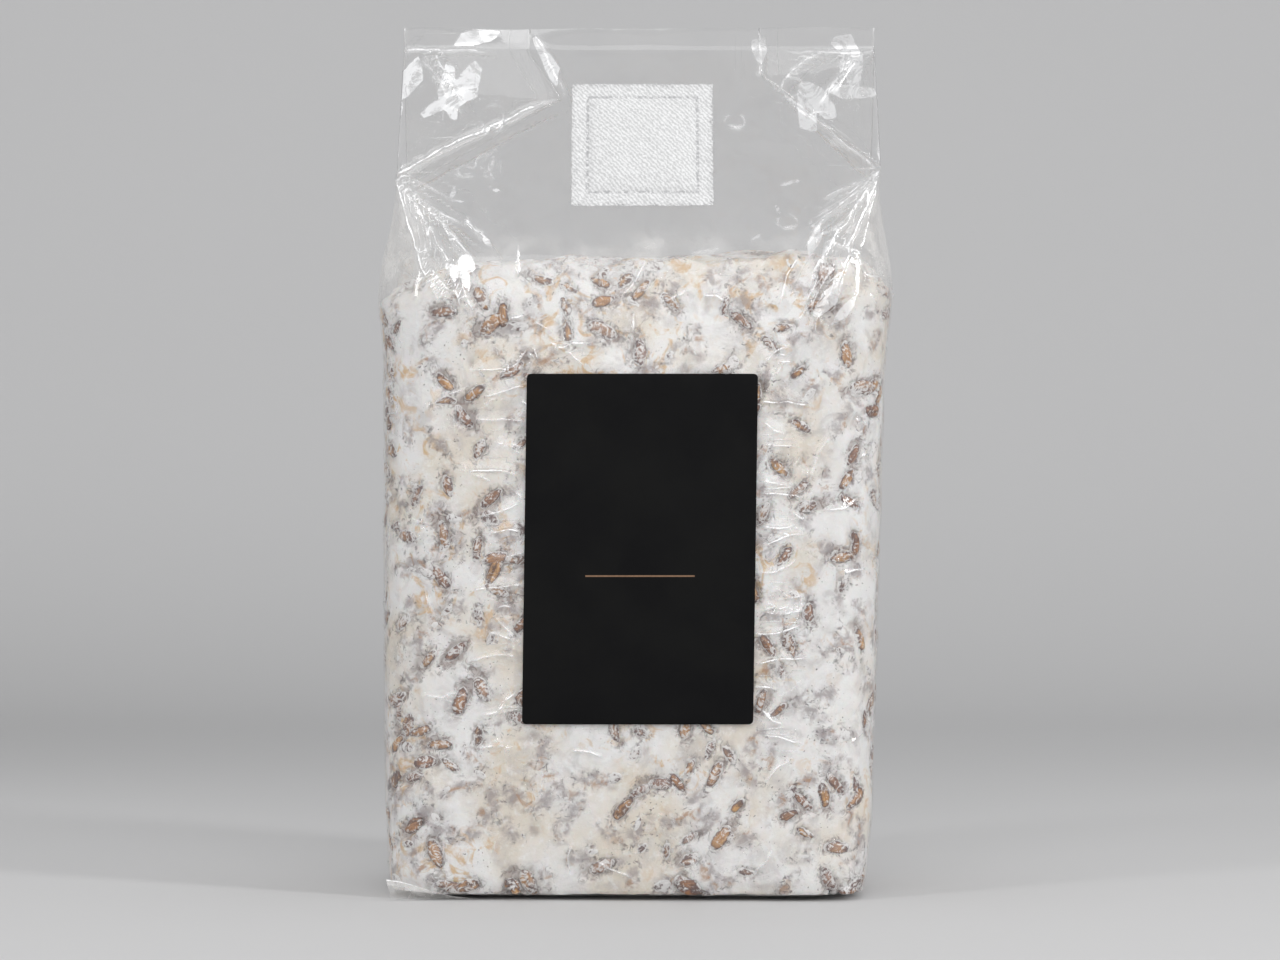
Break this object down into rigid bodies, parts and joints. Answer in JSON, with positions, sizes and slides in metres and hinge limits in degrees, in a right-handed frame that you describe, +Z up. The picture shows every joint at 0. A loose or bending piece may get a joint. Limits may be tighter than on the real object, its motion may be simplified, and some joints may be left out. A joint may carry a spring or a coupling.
{
  "type": "mushroom grain spawn bag",
  "caption": "Clear gusseted film bag, heat-sealed flat at the top, standing upright round a block of colonized grain, with a breather filter patch and a bare label.",
  "frame": {"origin": "the middle of the flat base, on the surface that the bag stands on", "axes": "+Z up towards the sealed top edge; -Y is the front, with the label and the filter patch; +X to the right seen from the front"},
  "size_m": [0.1876, 0.1046, 0.3225],
  "materials": {
    "clear_film": "gloss",
    "filter_cloth": "matte",
    "label_vinyl": "satin",
    "colonized_grain": "matte"
  },
  "bodies": {
    "root": {"bag_film": "clear_film", "filter_patch": "filter_cloth", "label": "label_vinyl", "grain_block": "colonized_grain"}
  },
  "joints": []
}
